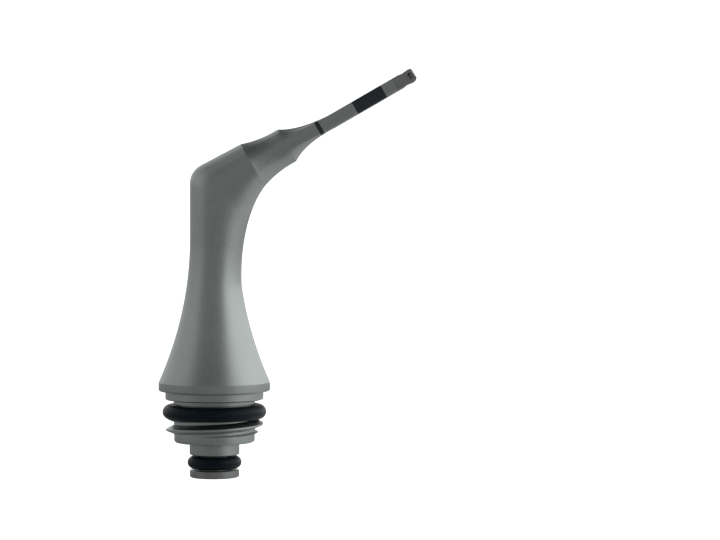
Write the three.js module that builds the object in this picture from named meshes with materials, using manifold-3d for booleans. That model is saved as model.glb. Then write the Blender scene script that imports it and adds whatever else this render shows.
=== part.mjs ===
// Angled subgingival spray tip of an ultrasonic and air-polishing scaler handpiece.
// Millimetres. The origin lies on the coupling axis, in the plane where the flange meets the handpiece.
// +Z points up the coupling axis into the bell; the arm leans over towards +X.
import * as THREE from 'three';
import { mergeVertices } from 'three/addons/utils/BufferGeometryUtils.js';
import Module from 'manifold-3d';

const wasm = await Module();
wasm.setup();

// ---------------------------------------------------------------- driving dimensions
const FIT_GAP = 0.02; // play between a bore and what is pushed into it
const FACE_GAP = 0.02; // joint line between two faces that meet

// Bell and bent tube
const ELBOW_HEIGHT = 18.16; // where the arm's axis crosses the coupling axis
const ARM_RISE = THREE.MathUtils.degToRad(30); // the arm above horizontal: a 120 degree bend
const FLANGE_RADIUS = 4.98;
const FLANGE_HEIGHT = 0.78;
const FLANGE_CHAMFER = 0.16;
const BELL_HEIGHT = 13.8; // the bell runs into the straight tube here
const BELL_FLARE = 2.05; // power of the curve that the bell narrows by
const BODY_TUBE_RADIUS = 2.16;
const ELBOW_RADIUS = 1.8; // outside corner
const BACK_TAPER = 0.039; // slope of the stub's back, from the elbow down to the collar
const CROTCH_START = 9.4; // height where the inside of the bend leaves the bell's curve
// The pulls on the ends of the crotch's curve: across, and along Z as a share of the curve's height.
const CROTCH_PULL_UP = [-0.16, 0.36]; // lower end
const CROTCH_PULL_BACK = [1.6, 0.23]; // upper end, back and down
const FAN_BELOW_BELL = 1; // the bend's sections start to turn this far below the bell's top
const COLLAR_RADIUS = 2.15; // the crisp ring at the end of the bent tube
const COLLAR_REACH = 4.02; // along the arm's axis
const BODY_WALL = 0.75;
const CHANNEL_RADIUS = 1.5; // room for the two tubes, side by side
const CHANNEL_BEND = 3.6; // radius of the channel's centre line in the elbow
const PLUG_BORE_RADIUS = 3.4;
const PLUG_BORE_DEPTH = 2.35;
const NOSE_SOCKET_RADIUS = 1.6;
const NOSE_SOCKET_DEPTH = 1.85;

// Blade nozzle, measured along the arm's axis
const NECK_RADIUS = 1.64;
const NECK_END = 7.0;
const FLAT_START = 7.5; // the milled run-outs of the upper and lower flats
const FLAT_END = 12.0;
const BLADE_HALF_THICKNESS = 0.635;
const BLADE_HALF_WIDTH = 2.2; // of the oval that the two faces are milled to, wider than the blade itself
const BLADE_WAIST = 1.35; // the pull that narrows the oval along the run-outs
const BLADE_DROP = 0.18; // the blade lies this far below the neck's axis
const BLADE_MIDDLE = -0.5; // and is this far over to its -Y side
const FACE_PULL = 0.025; // fullness of the faces' run-out
const SIDE_PULL = 0.08; // fullness of the side's run-out
const SIDE_START = 7.9; // the run-out of the flat on the +Y side
const SIDE_END = 13.6;
const BLADE_SIDE = 0.56;
const TIP_REACH = 20.5;
const HEAD_LENGTH = 1.98;
const INLAY_DEPTH = 0.05;
const WIDE_MARK = [3.15, 6.11]; // from the tip's end
const THIN_MARK = [9.52, 9.9];

// Outlet head, measured back from the tip's end
const HEAD_NOSE = 0.4;
const HEAD_NOSE_FLAT = 0.3; // half height of the flat at the nose
const HEAD_CORNER = 0.22;
const HEAD_WAIST = 0.54; // half thickness of the scooped windows
const WAIST_LEAD = 0.4; // the scoop starts this far before the windows
const POWDER_WINDOW = { start: 1.12, end: 0.4, width: 0.56 };
const WATER_WINDOW = { start: 1.12, end: 0.72, width: 0.42 };
const SLOT = { start: 0.56, end: 0.42, from: -0.78, to: 0.05, depth: 0.42 };
const SIDE_PORT_RADIUS = 0.3;
const SIDE_PORT_BACK = 0.42;

// Inner tubes
const POWDER_TUBE_RADIUS = 0.36;
const POWDER_TUBE_BORE = 0.28;
const POWDER_Y = -1.0;
const WATER_TUBE_RADIUS = 0.24;
const WATER_TUBE_BORE = 0.17;
const WATER_Y = -0.04;
const TUBE_SHIFT = [3.6, 9.8]; // heights between which the tubes swing to their places in the blade
const TUBE_END_INSET = 0.32; // how far a tube reaches into the head
const FERRULE_WALL = 0.25;
const FERRULE_HEIGHT = 1.3;
const FERRULE_SEAT = 0.6;
const GUIDE_HEIGHT = 0.8;
const GUIDE_PLAY = 0.2;
const GUIDE_ABOVE_SHIFT = 0.8;
const NOSE_SEAL_THICKNESS = 0.45;

// Coupling, from the seat plane down
const STEP_RADIUS = 4.38;
const STEP_HEIGHT = 0.76;
const STEP_EDGE = 0.08;
const LAND_RADIUS = 3.64;
const LAND_HEIGHT = 0.34;
const LARGE_RING_CORD = 1.39;
const LARGE_RING_INNER = 3.255;
const LARGE_RING_PLAY = 0.12;
const THREAD_LENGTH = 1.35;
const THREAD_ROOT = 3.62;
const THREAD_CREST = 4.36;
const THREAD_START = 0.93; // the crest on the -X side, below the ring's groove
const THREAD_PITCH = 1.07;
const THREAD_CREST_FLAT = 0.18;
const THREAD_UPPER_FLANK = 0.43;
const THREAD_LOWER_FLANK = 0.33;
const THREAD_SINK = 0.1; // how deep the ridge's foot is sunk into the core
const THREAD_LEAD = 0.42; // height of the chamfer that starts the thread
const PLAIN_RADIUS = 3.6;
const PLAIN_HEIGHT = 0.7;
const PLAIN_EDGE = 0.25;
const SPIGOT_RADIUS = 2.23;
const SPIGOT_HEIGHT = 1.05;
const SPIGOT_EDGE = 0.15;
const SMALL_RING_CORD = 1.2;
const SMALL_RING_INNER = 1.225;
const SMALL_RING_PLAY = 0.14;
const END_COLLAR_RADIUS = 2.21;
const END_COLLAR_HEIGHT = 0.68;
const END_COLLAR_EDGE = 0.16;
const PLUG_HEIGHT = 2.2;
const PLUG_EDGE = 0.15;
const PLUG_RING_CORD = 0.5;
const PLUG_RING_PLAY = 0.1;
const PLUG_RING_HEIGHT = 1.1;
const WATER_PORT_Y = 2.5;
const WATER_PORT_RADIUS = 0.2;
const WATER_TUBE_SEAT = 0.75;

// Powder nipple
const NIPPLE_SHANK = 2.8; // length inside the coupling core
const NIPPLE_BORE = 0.75;
const NIPPLE_CONE = 0.6;
const POWDER_TUBE_SEAT = 1.5;

// Facets
const ROUND = 32;
const FINE = 16;
const CORD = 10;
const BELL_STEPS = 12;
const BEND_STEPS = 16;

// ---------------------------------------------------------------- derived heights
const stepBottom = -STEP_HEIGHT;
const largeGrooveTop = stepBottom - LAND_HEIGHT;
const largeGrooveBottom = largeGrooveTop - LARGE_RING_CORD - LARGE_RING_PLAY;
const threadBottom = largeGrooveBottom - THREAD_LENGTH;
const plainBottom = threadBottom - PLAIN_HEIGHT;
const spigotBottom = plainBottom - SPIGOT_HEIGHT;
const collarTop = spigotBottom - SMALL_RING_CORD - SMALL_RING_PLAY;
const collarBottom = collarTop - END_COLLAR_HEIGHT;
const nippleTop = spigotBottom + NIPPLE_SHANK;
const headStart = TIP_REACH - HEAD_LENGTH;
const noseStart = COLLAR_REACH - NOSE_SOCKET_DEPTH;
const spigotStart = noseStart + NOSE_SEAL_THICKNESS + 2 * FACE_GAP;
const guideBottom = TUBE_SHIFT[1] + GUIDE_ABOVE_SHIFT;

const armAxis = new THREE.Vector3(Math.cos(ARM_RISE), 0, Math.sin(ARM_RISE));
const armUp = new THREE.Vector3(-Math.sin(ARM_RISE), 0, Math.cos(ARM_RISE));
const elbow = new THREE.Vector3(0, 0, ELBOW_HEIGHT);

// A point of the bend plane, given along the arm's axis and above it.
function armPoint(along, above) {
  return elbow.clone().addScaledVector(armAxis, along).addScaledVector(armUp, above);
}

// ---------------------------------------------------------------- solids
// A closed three.js geometry as a solid that can be cut and joined.
function solid(geometry) {
  const bare = geometry.index ? geometry.toNonIndexed() : geometry.clone();
  bare.deleteAttribute('normal');
  bare.deleteAttribute('uv');
  const merged = mergeVertices(bare, 1e-5);
  const corners = [];
  const index = merged.index.array;
  for (let i = 0; i < index.length; i += 3) {
    const [a, b, c] = [index[i], index[i + 1], index[i + 2]];
    if (a !== b && b !== c && c !== a) corners.push(a, b, c);
  }
  const vertProperties = merged.attributes.position.array;
  const made = (triVerts) => new wasm.Manifold(new wasm.Mesh({ numProp: 3, vertProperties, triVerts }));
  const body = made(new Uint32Array(corners));
  return body.volume() > 0 ? body : made(new Uint32Array(corners.reverse()));
}

// A solid as a named mesh.
function part(name, body, material) {
  const mesh = body.getMesh();
  const geometry = new THREE.BufferGeometry();
  geometry.setAttribute('position', new THREE.BufferAttribute(mesh.vertProperties, 3));
  geometry.setIndex(new THREE.BufferAttribute(mesh.triVerts, 1));
  geometry.computeVertexNormals();
  const made = new THREE.Mesh(geometry, material.clone());
  made.name = name;
  return made;
}

// A profile of [radius, height] pairs turned about +Z.
function turned(profile, segments = ROUND) {
  const points = profile.map(([r, z]) => new THREE.Vector2(r, z));
  return solid(new THREE.LatheGeometry(points, segments).rotateX(Math.PI / 2));
}

function rod(radius, bottom, top, segments = FINE, x = 0, y = 0) {
  const geometry = new THREE.CylinderGeometry(radius, radius, top - bottom, segments);
  return solid(geometry.rotateX(Math.PI / 2).translate(x, y, (top + bottom) / 2));
}

function sleeve(inner, outer, bottom, top, segments = FINE, x = 0, y = 0) {
  return rod(outer, bottom, top, segments, x, y).subtract(rod(inner, bottom - 1, top + 1, segments, x, y));
}

// A ring of round cord about +Z.
function ring(inner, cord, height, segments = ROUND) {
  const profile = [];
  for (let i = 0; i <= CORD; i++) {
    const turn = (i / CORD) * 2 * Math.PI;
    profile.push([inner + cord / 2 + (cord / 2) * Math.cos(turn), height + (cord / 2) * Math.sin(turn)]);
  }
  return turned(profile, segments);
}

function block(x0, x1, y0, y1, z0, z1) {
  const geometry = new THREE.BoxGeometry(x1 - x0, y1 - y0, z1 - z0);
  return solid(geometry.translate((x0 + x1) / 2, (y0 + y1) / 2, (z0 + z1) / 2));
}

// An outline in a plane through +Z, extruded both ways across that plane. The side is 'x' or 'y'.
function profileBlock(outline, side, halfDepth) {
  const shape = new THREE.Shape(outline.map(([across, z]) => new THREE.Vector2(across, z)));
  const geometry = new THREE.ExtrudeGeometry(shape, { depth: 2 * halfDepth, bevelEnabled: false });
  geometry.translate(0, 0, -halfDepth);
  const [x, y, z] = [new THREE.Vector3(1, 0, 0), new THREE.Vector3(0, 1, 0), new THREE.Vector3(0, 0, 1)];
  const turn = new THREE.Matrix4();
  if (side === 'x') turn.makeBasis(x, z, y.negate());
  else turn.makeBasis(y, z, x);
  return solid(geometry.applyMatrix4(turn));
}

// A skin over a stack of closed sections with the same number of points, capped at both ends.
function skinned(sections) {
  const count = sections[0].length;
  const positions = sections.flat().flatMap((p) => [p.x, p.y, p.z]);
  const index = [];
  for (let s = 0; s + 1 < sections.length; s++) {
    for (let i = 0; i < count; i++) {
      const [a, b] = [s * count + i, s * count + ((i + 1) % count)];
      index.push(a, b, b + count, a, b + count, a + count);
    }
  }
  const last = (sections.length - 1) * count;
  for (let i = 1; i + 1 < count; i++) {
    index.push(0, i + 1, i, last, last + i, last + i + 1);
  }
  const geometry = new THREE.BufferGeometry();
  geometry.setAttribute('position', new THREE.Float32BufferAttribute(positions, 3));
  geometry.setIndex(index);
  return solid(geometry);
}

// A route of several legs, each a curve that is cut into its own number of steps.
class Route extends THREE.Curve {
  constructor(legs) {
    super();
    this.legs = legs;
    this.steps = legs.reduce((sum, leg) => sum + leg.steps, 0);
  }

  at(share, read) {
    let step = share * this.steps;
    let leg = 0;
    while (leg + 1 < this.legs.length && step >= this.legs[leg].steps) {
      step -= this.legs[leg].steps;
      leg += 1;
    }
    return read(this.legs[leg].curve, Math.min(1, step / this.legs[leg].steps));
  }

  getPoint(share) {
    return this.at(share, (curve, t) => curve.getPoint(t));
  }

  getPointAt(share) {
    return this.getPoint(share);
  }

  getTangentAt(share) {
    return this.at(share, (curve, t) => curve.getTangent(t));
  }
}

function swept(shape, route, curveSegments) {
  return solid(new THREE.ExtrudeGeometry(shape, {
    steps: route.steps, curveSegments, extrudePath: route, bevelEnabled: false,
  }));
}

function disc(radius, hole = 0) {
  const shape = new THREE.Shape().absarc(0, 0, radius, 0, 2 * Math.PI);
  if (hole > 0) shape.holes.push(new THREE.Path().absarc(0, 0, hole, 0, 2 * Math.PI, true));
  return shape;
}

// ---------------------------------------------------------------- materials
function finish(color, roughness, metalness) {
  return new THREE.MeshStandardMaterial({ color, roughness, metalness });
}
const blastedSteel = finish(0x7f8683, 0.45, 0.9);
const turnedSteel = finish(0x8a8c8b, 0.3, 1.0);
const tubeSteel = finish(0x9a9c9c, 0.25, 1.0);
const blackRubber = finish(0x0e161b, 0.6, 0.0);
const markEnamel = finish(0x262b31, 0.55, 0.0);
const bushPolymer = finish(0xd8cfb8, 0.5, 0.0);

// ---------------------------------------------------------------- bell and bent tube
// Outer radius of the bell at a height.
function bellRadius(height) {
  const share = THREE.MathUtils.clamp((height - FLANGE_HEIGHT) / (BELL_HEIGHT - FLANGE_HEIGHT), 0, 1);
  return BODY_TUBE_RADIUS + (FLANGE_RADIUS - BODY_TUBE_RADIUS) * (1 - share) ** BELL_FLARE;
}

// Heights and radii down the bell's curve, from the flange up.
const bellPoints = Array.from({ length: BELL_STEPS + 1 }, (_, i) => {
  const height = THREE.MathUtils.lerp(FLANGE_HEIGHT, BELL_HEIGHT, i / BELL_STEPS);
  return { height, radius: bellRadius(height) };
});

// The two edges of the body in the bend plane: the back, over the elbow, and the crotch.
function backEdge() {
  const collarTopPoint = armPoint(COLLAR_REACH, COLLAR_RADIUS);
  const corner = new THREE.Vector3(-BODY_TUBE_RADIUS, 0, 0);
  const taper = armAxis.clone().addScaledVector(armUp, -BACK_TAPER).normalize();
  const back = (collarTopPoint.x - corner.x) / taper.x;
  corner.z = collarTopPoint.z - taper.z * back;
  const turn = Math.acos(taper.z);
  const trim = ELBOW_RADIUS * Math.tan(turn / 2);
  const centre = new THREE.Vector3(corner.x + ELBOW_RADIUS, 0, corner.z - trim);
  const edge = bellPoints.map((p) => new THREE.Vector3(-p.radius, 0, p.height));
  for (let i = 0; i <= 8; i++) {
    const angle = (turn * i) / 8;
    edge.push(new THREE.Vector3(
      centre.x - ELBOW_RADIUS * Math.cos(angle), 0, centre.z + ELBOW_RADIUS * Math.sin(angle),
    ));
  }
  edge.push(collarTopPoint.clone().addScaledVector(taper, 0.5));
  return edge;
}

function crotchEdge() {
  const below = bellPoints.filter((p) => p.height < CROTCH_START);
  const edge = below.map((p) => new THREE.Vector3(p.radius, 0, p.height));
  const start = new THREE.Vector3(bellRadius(CROTCH_START), 0, CROTCH_START);
  const end = armPoint(COLLAR_REACH, -COLLAR_RADIUS);
  const span = end.z - start.z;
  const curve = new THREE.CubicBezierCurve3(
    start,
    new THREE.Vector3(start.x + CROTCH_PULL_UP[0], 0, start.z + CROTCH_PULL_UP[1] * span),
    new THREE.Vector3(end.x - CROTCH_PULL_BACK[0], 0, end.z - CROTCH_PULL_BACK[1] * span),
    end,
  );
  edge.push(...curve.getPoints(16));
  edge.push(end.clone().addScaledVector(armAxis, 0.5));
  return edge;
}

// Where a ray in the bend plane meets an edge given as a chain of points.
function meets(from, direction, edge) {
  for (let i = 0; i + 1 < edge.length; i++) {
    const [p, q] = [edge[i], edge[i + 1]];
    const step = new THREE.Vector3().subVectors(q, p);
    const cross = direction.x * step.z - direction.z * step.x;
    const share = (direction.z * (p.x - from.x) - direction.x * (p.z - from.z)) / cross;
    const reach = ((p.x - from.x) * step.z - (p.z - from.z) * step.x) / cross;
    if (share >= -1e-6 && share <= 1 + 1e-6 && reach > 0) return p.clone().addScaledVector(step, share);
  }
  throw new Error('a section of the bend misses an edge');
}

// An ellipse through two opposite edge points, with its other half width along Y.
function section(back, crotch, halfWidth, count = ROUND) {
  const centre = back.clone().add(crotch).multiplyScalar(0.5);
  const half = crotch.clone().sub(back).multiplyScalar(0.5);
  return Array.from({ length: count }, (_, i) => {
    const angle = (i / count) * 2 * Math.PI;
    const point = centre.clone().addScaledVector(half, Math.cos(angle));
    point.y = halfWidth * Math.sin(angle);
    return point;
  });
}

function elbowBody() {
  const back = backEdge();
  const crotch = crotchEdge();
  // The sections fan about the line where the horizontal at the bell's top meets the collar's plane.
  const fan = new THREE.Vector3();
  fan.z = BELL_HEIGHT - FAN_BELOW_BELL;
  fan.x = armPoint(COLLAR_REACH, 0).x + (armPoint(COLLAR_REACH, 0).z - fan.z) * Math.tan(ARM_RISE);
  const sections = [
    section(new THREE.Vector3(FLANGE_CHAMFER - FLANGE_RADIUS, 0, 0),
      new THREE.Vector3(FLANGE_RADIUS - FLANGE_CHAMFER, 0, 0), FLANGE_RADIUS - FLANGE_CHAMFER),
    section(new THREE.Vector3(-FLANGE_RADIUS, 0, FLANGE_CHAMFER),
      new THREE.Vector3(FLANGE_RADIUS, 0, FLANGE_CHAMFER), FLANGE_RADIUS),
  ];
  for (const p of bellPoints) {
    if (p.height > fan.z - FAN_BELOW_BELL / 2) break;
    const level = new THREE.Vector3(fan.x, 0, p.height);
    const left = new THREE.Vector3(-1, 0, 0);
    sections.push(section(meets(level, left, back), meets(level, left, crotch), p.radius));
  }
  for (let i = 0; i <= BEND_STEPS; i++) {
    const angle = ((Math.PI / 2 - ARM_RISE) * i) / BEND_STEPS;
    const ray = new THREE.Vector3(-Math.cos(angle), 0, Math.sin(angle));
    const halfWidth = THREE.MathUtils.lerp(bellRadius(fan.z), COLLAR_RADIUS, i / BEND_STEPS);
    sections.push(section(meets(fan, ray, back), meets(fan, ray, crotch), halfWidth));
  }
  const outside = skinned(sections);

  const bore = [[0, -1], [PLUG_BORE_RADIUS, -1], [PLUG_BORE_RADIUS, PLUG_BORE_DEPTH]];
  const channelStart = TUBE_SHIFT[1];
  for (let i = 1; i <= 6; i++) {
    const height = THREE.MathUtils.lerp(PLUG_BORE_DEPTH, channelStart, i / 6);
    bore.push([Math.max(CHANNEL_RADIUS, Math.min(PLUG_BORE_RADIUS, bellRadius(height) - BODY_WALL)), height]);
  }
  const boreTop = guideBottom + GUIDE_HEIGHT + GUIDE_PLAY;
  bore.push([CHANNEL_RADIUS, boreTop], [0, boreTop]);
  const channelRoute = new Route(bendLegs(channelStart, COLLAR_REACH - 0.5, 0, 0));
  const channel = swept(disc(CHANNEL_RADIUS), channelRoute, FINE / 2);
  const socket = rod(NOSE_SOCKET_RADIUS, noseStart, COLLAR_REACH + 1, ROUND).transform(armMatrix());
  return outside.subtract(turned(bore)).subtract(channel).subtract(socket);
}

// The arm's frame as a column-major list: its own +Z runs along the arm, its +X points down and out.
function armMatrix() {
  return new THREE.Matrix4().compose(elbow, armTurn, new THREE.Vector3(1, 1, 1)).elements.slice();
}

// A route up the coupling axis, round the elbow and along the arm.
// It lies in the plane at y, and a drop below the arm's axis.
function bendLegs(fromZ, toReach, y, drop) {
  const corner = armPoint(-drop * Math.tan(ARM_RISE), -drop);
  const trim = CHANNEL_BEND * Math.tan((Math.PI / 2 - ARM_RISE) / 2);
  const before = new THREE.Vector3(0, y, corner.z - trim);
  const after = corner.clone().addScaledVector(armAxis, trim).setY(y);
  const pull = (4 / 3) * Math.tan((Math.PI / 2 - ARM_RISE) / 4) * CHANNEL_BEND;
  const arc = new THREE.CubicBezierCurve3(
    before, before.clone().add(new THREE.Vector3(0, 0, pull)),
    after.clone().addScaledVector(armAxis, -pull), after,
  );
  return [
    { curve: new THREE.LineCurve3(new THREE.Vector3(0, y, fromZ), before), steps: 1 },
    { curve: arc, steps: 8 },
    { curve: new THREE.LineCurve3(after, armPoint(toReach, -drop).setY(y)), steps: 1 },
  ];
}

// A tube starts upright at lowY, swings over to y and follows the bend.
function tubeRoute(bottom, lowY, y, toReach) {
  const [from, to] = TUBE_SHIFT;
  const pull = (to - from) * 0.45;
  const swing = new THREE.CubicBezierCurve3(
    new THREE.Vector3(0, lowY, from), new THREE.Vector3(0, lowY, from + pull),
    new THREE.Vector3(0, y, to - pull), new THREE.Vector3(0, y, to),
  );
  const upright = new THREE.LineCurve3(new THREE.Vector3(0, lowY, bottom), new THREE.Vector3(0, lowY, from));
  return new Route([
    { curve: upright, steps: 1 },
    { curve: swing, steps: 8 },
    ...bendLegs(to, toReach, y, BLADE_DROP),
  ]);
}

const armTurn = new THREE.Quaternion().setFromAxisAngle(new THREE.Vector3(0, 1, 0), Math.PI / 2 - ARM_RISE);

// ---------------------------------------------------------------- blade, in the arm's frame
function easing(from, pull, to, steps = 8) {
  const curve = new THREE.QuadraticBezierCurve(
    new THREE.Vector2(...from), new THREE.Vector2(...pull), new THREE.Vector2(...to),
  );
  return curve.getPoints(steps).map((p) => [p.x, p.y]);
}

// The crowned upper and lower faces: ovals that leave the neck's round and settle on the blade.
function crownedFaces(inset) {
  const oval = (z, halfThickness, halfWidth, drop, middle) => Array.from({ length: ROUND }, (_, i) => {
    const angle = (i / ROUND) * 2 * Math.PI;
    return new THREE.Vector3(
      drop + (halfThickness - inset) * Math.cos(angle), middle + (halfWidth - inset) * Math.sin(angle), z,
    );
  });
  const start = NECK_RADIUS + 0.01;
  const thickness = easing([start, FLAT_START],
    [BLADE_HALF_THICKNESS + FACE_PULL, (2 * FLAT_START + FLAT_END) / 3], [BLADE_HALF_THICKNESS, FLAT_END]);
  const widths = easing([start, FLAT_START], [BLADE_WAIST, FLAT_START], [BLADE_HALF_WIDTH, FLAT_END]);
  const ovals = thickness.map(([half, z], i) => {
    const share = i / (thickness.length - 1);
    return oval(z, half, widths[i][0], BLADE_DROP * share ** 2, BLADE_MIDDLE * share);
  });
  return skinned([
    oval(COLLAR_REACH - 1, 3, 3, 0, 0), oval(FLAT_START - 0.1, 3, 3, 0, 0), ...ovals,
    oval(TIP_REACH + 1, BLADE_HALF_THICKNESS, BLADE_HALF_WIDTH, BLADE_DROP, BLADE_MIDDLE),
  ]);
}

// The neck and the milled blade, all of its surfaces moved in by the inset.
function bladeShape(inset) {
  const start = COLLAR_REACH + FACE_GAP;
  const neck = easing([COLLAR_RADIUS, start], [NECK_RADIUS, (start + NECK_END) / 2], [NECK_RADIUS, NECK_END]);
  const round = turned([[0, start], ...neck, [NECK_RADIUS, TIP_REACH], [0, TIP_REACH]]
    .map(([r, z]) => [Math.max(0, r - inset), z]));
  const side = [
    [-3, TIP_REACH + 1], [-3, COLLAR_REACH - 1], [3, COLLAR_REACH - 1], [3, SIDE_START - 0.1],
    ...easing([NECK_RADIUS + 0.01, SIDE_START], [BLADE_SIDE + SIDE_PULL, 0.6 * SIDE_START + 0.4 * SIDE_END],
      [BLADE_SIDE, SIDE_END]),
    [BLADE_SIDE, TIP_REACH + 1],
  ].map(([y, z]) => [y - inset, z]);
  return round.intersect(crownedFaces(inset)).intersect(profileBlock(side, 'y', 4));
}

function slab(from, to) {
  return block(-4, 4, -4, 4, from, to);
}

function depthMark([near, far]) {
  const [from, to] = [TIP_REACH - far, TIP_REACH - near];
  return bladeShape(0).intersect(slab(from, to)).subtract(bladeShape(INLAY_DEPTH));
}

function markRecess([near, far]) {
  const [from, to] = [TIP_REACH - far - FACE_GAP, TIP_REACH - near + FACE_GAP];
  return slab(from, to).subtract(bladeShape(INLAY_DEPTH + FIT_GAP));
}

function tubeHoles(from, to, x) {
  return rod(POWDER_TUBE_RADIUS + FIT_GAP, from, to, FINE, x, POWDER_Y)
    .add(rod(WATER_TUBE_RADIUS + FIT_GAP, from, to, FINE, x, WATER_Y));
}

function bladeNozzle() {
  const spigot = rod(NOSE_SOCKET_RADIUS - FIT_GAP, spigotStart, COLLAR_REACH + 0.5, ROUND);
  return bladeShape(0).subtract(slab(headStart, TIP_REACH + 1)).add(spigot)
    .subtract(tubeHoles(spigotStart - 1, TIP_REACH + 1, BLADE_DROP))
    .subtract(markRecess(WIDE_MARK)).subtract(markRecess(THIN_MARK));
}

function noseSeal() {
  const from = noseStart + FACE_GAP;
  return rod(NOSE_SOCKET_RADIUS - FIT_GAP, from, from + NOSE_SEAL_THICKNESS, ROUND)
    .subtract(tubeHoles(from - 1, from + NOSE_SEAL_THICKNESS + 1, BLADE_DROP));
}

// A window cut from the upper face of the head to the lower one.
function window(centre, { start, end, width }) {
  return block(-2, 2, centre - width / 2, centre + width / 2, TIP_REACH - start, TIP_REACH - end);
}

function outletHead() {
  const half = BLADE_HALF_THICKNESS;
  const waistStart = TIP_REACH - POWDER_WINDOW.start - WAIST_LEAD;
  const waistEnd = TIP_REACH - POWDER_WINDOW.end;
  const edge = [[half, headStart - 1]];
  for (let i = 0; i <= 8; i++) {
    const dip = (1 - Math.cos((2 * Math.PI * i) / 8)) / 2;
    edge.push([half - (half - HEAD_WAIST) * dip, THREE.MathUtils.lerp(waistStart, waistEnd, i / 8)]);
  }
  for (let i = 1; i <= 5; i++) {
    const angle = ((Math.PI / 2) * i) / 5;
    const across = HEAD_NOSE_FLAT + (half - HEAD_NOSE_FLAT) * Math.cos(angle);
    edge.push([across, TIP_REACH - HEAD_NOSE * (1 - Math.sin(angle))]);
  }
  const lower = edge.map(([x, z]) => [BLADE_DROP + x, z]);
  const upper = edge.map(([x, z]) => [BLADE_DROP - x, z]).reverse();
  const outline = [...lower, ...upper];
  const plan = [[-NECK_RADIUS - 0.01, headStart - 1]];
  for (const [y, z, from] of [
    [HEAD_CORNER - NECK_RADIUS, TIP_REACH - HEAD_CORNER, Math.PI],
    [BLADE_SIDE - HEAD_CORNER, TIP_REACH - HEAD_CORNER, Math.PI / 2],
  ]) {
    for (let i = 0; i <= 4; i++) {
      const angle = from - (Math.PI / 8) * i;
      plan.push([y + HEAD_CORNER * Math.cos(angle), z + HEAD_CORNER * Math.sin(angle)]);
    }
  }
  plan.push([BLADE_SIDE, headStart - 1]);
  const windowStart = TIP_REACH - POWDER_WINDOW.start;
  const port = solid(new THREE.CylinderGeometry(SIDE_PORT_RADIUS, SIDE_PORT_RADIUS, 2, FINE)
    .translate(BLADE_DROP, POWDER_Y - 1, TIP_REACH - SIDE_PORT_BACK));
  return bladeShape(0).intersect(slab(headStart + FACE_GAP, TIP_REACH + 1))
    .intersect(profileBlock(outline, 'x', 4)).intersect(profileBlock(plan, 'y', 4))
    .subtract(window(POWDER_Y, POWDER_WINDOW)).subtract(window(WATER_Y, WATER_WINDOW))
    .subtract(block(-2, BLADE_DROP + SLOT.depth - HEAD_WAIST, SLOT.from, SLOT.to,
      TIP_REACH - SLOT.start, TIP_REACH - SLOT.end))
    .subtract(port)
    .subtract(tubeHoles(headStart - 1, headStart + TUBE_END_INSET + FACE_GAP, BLADE_DROP))
    .subtract(rod(POWDER_TUBE_BORE, headStart, windowStart + 0.1, FINE, BLADE_DROP, POWDER_Y))
    .subtract(rod(WATER_TUBE_BORE, headStart, windowStart + 0.1, FINE, BLADE_DROP, WATER_Y));
}

// ---------------------------------------------------------------- coupling
const largeGrooveRadius = LARGE_RING_INNER - FIT_GAP;
const shankRadius = SMALL_RING_INNER - FIT_GAP;
const plugRadius = PLUG_BORE_RADIUS - FIT_GAP;
const plugRingInner = plugRadius - PLUG_RING_CORD;
const tubeSeatBottom = nippleTop - POWDER_TUBE_SEAT;

// A rounded outside corner from the side of a cylinder to its lower face.
function lowerEdge(radius, bottom, edge) {
  return Array.from({ length: 4 }, (_, i) => {
    const angle = (Math.PI / 6) * i;
    return [radius - edge * (1 - Math.cos(angle)), bottom + edge * (1 - Math.sin(angle))];
  });
}

function threadRidge() {
  const leftCrest = largeGrooveBottom - THREAD_START;
  const crestHeight = (degrees) => leftCrest + (THREAD_PITCH * (degrees - 180)) / 360;
  const step = 360 / ROUND;
  const foot = THREAD_ROOT - THREAD_SINK;
  const margin = THREAD_UPPER_FLANK + THREAD_SINK;
  const first = Math.floor((180 + ((threadBottom - margin - leftCrest) * 360) / THREAD_PITCH) / step) * step;
  const last = 180 + ((largeGrooveBottom + margin - leftCrest) * 360) / THREAD_PITCH;
  const sections = [];
  for (let degrees = first; degrees <= last; degrees += step) {
    const angle = THREE.MathUtils.degToRad(degrees);
    const z = crestHeight(degrees);
    const low = z - THREAD_CREST_FLAT / 2;
    const high = z + THREAD_CREST_FLAT / 2;
    const outline = [
      [foot, low - THREAD_LOWER_FLANK], [THREAD_CREST, low],
      [THREAD_CREST, high], [foot, high + THREAD_UPPER_FLANK],
    ];
    sections.push(outline.map(([r, height]) => (
      new THREE.Vector3(r * Math.cos(angle), r * Math.sin(angle), height)
    )));
  }
  const outer = THREAD_CREST + FIT_GAP;
  const limit = turned([
    [0, threadBottom], [PLAIN_RADIUS, threadBottom], [outer, threadBottom + THREAD_LEAD],
    [outer, largeGrooveBottom], [0, largeGrooveBottom],
  ]);
  return skinned(sections).intersect(limit);
}

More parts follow.
